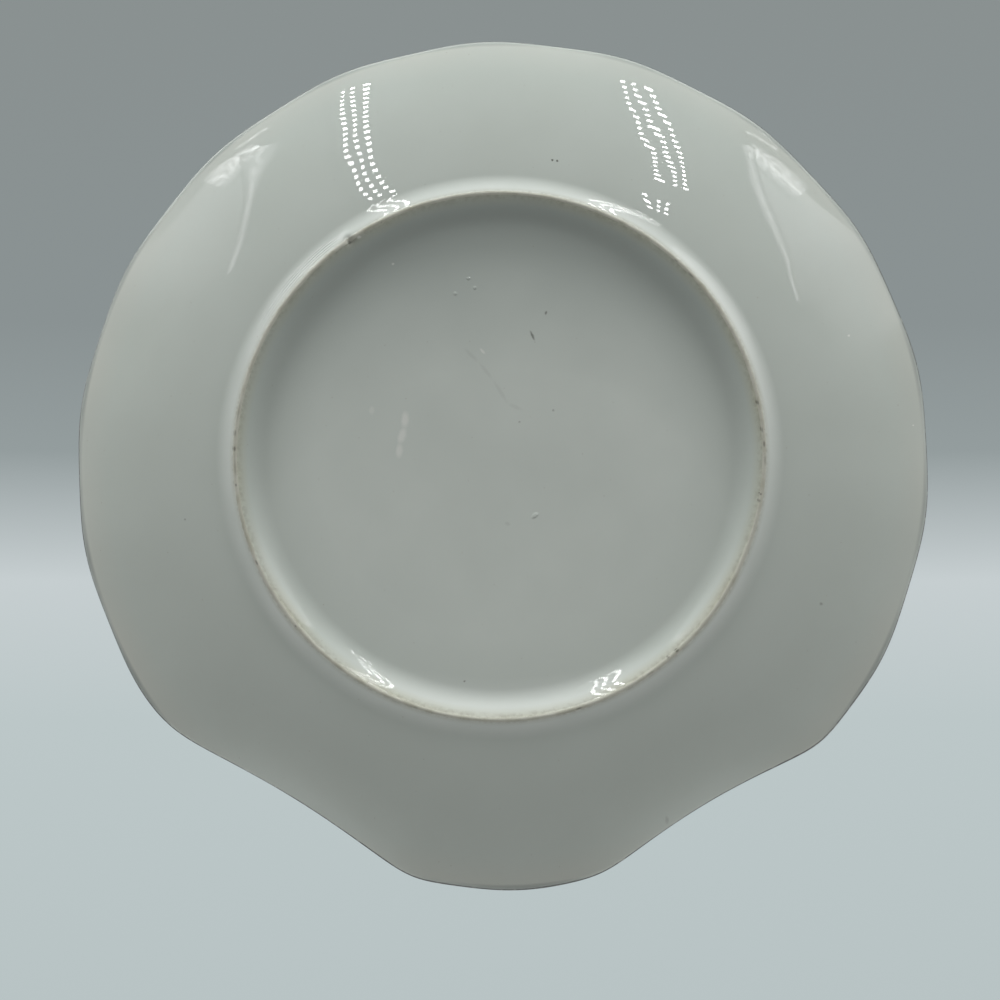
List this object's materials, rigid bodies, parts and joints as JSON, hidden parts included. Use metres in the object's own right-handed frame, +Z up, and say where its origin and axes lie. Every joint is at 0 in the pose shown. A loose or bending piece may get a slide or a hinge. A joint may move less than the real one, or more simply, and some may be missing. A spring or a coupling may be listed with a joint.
{
  "type": "lunch plate",
  "caption": "Round white porcelain lunch plate with a flat well, a gently scalloped sloping rim with a dark edge line, and a foot ring with a bare ground edge that it stands on.",
  "frame": {"origin": "middle of the foot ring's bearing plane, where the plate meets the table", "axes": "+Z up out of the eating side along the foot ring's axis; +Y towards the lobe between the two flats in the edge; +X to the side"},
  "size_m": [0.2152, 0.2158, 0.0168],
  "materials": {
    "bare_porcelain": "matte",
    "face_glaze": "polished",
    "rim_back_glaze": "polished",
    "foot_well_glaze": "polished",
    "edge_line": "satin"
  },
  "bodies": {
    "root": {"porcelain_body": "bare_porcelain", "face_glaze": "face_glaze", "rim_back_glaze": "rim_back_glaze", "foot_well_glaze": "foot_well_glaze", "edge_line": "edge_line"}
  },
  "joints": []
}
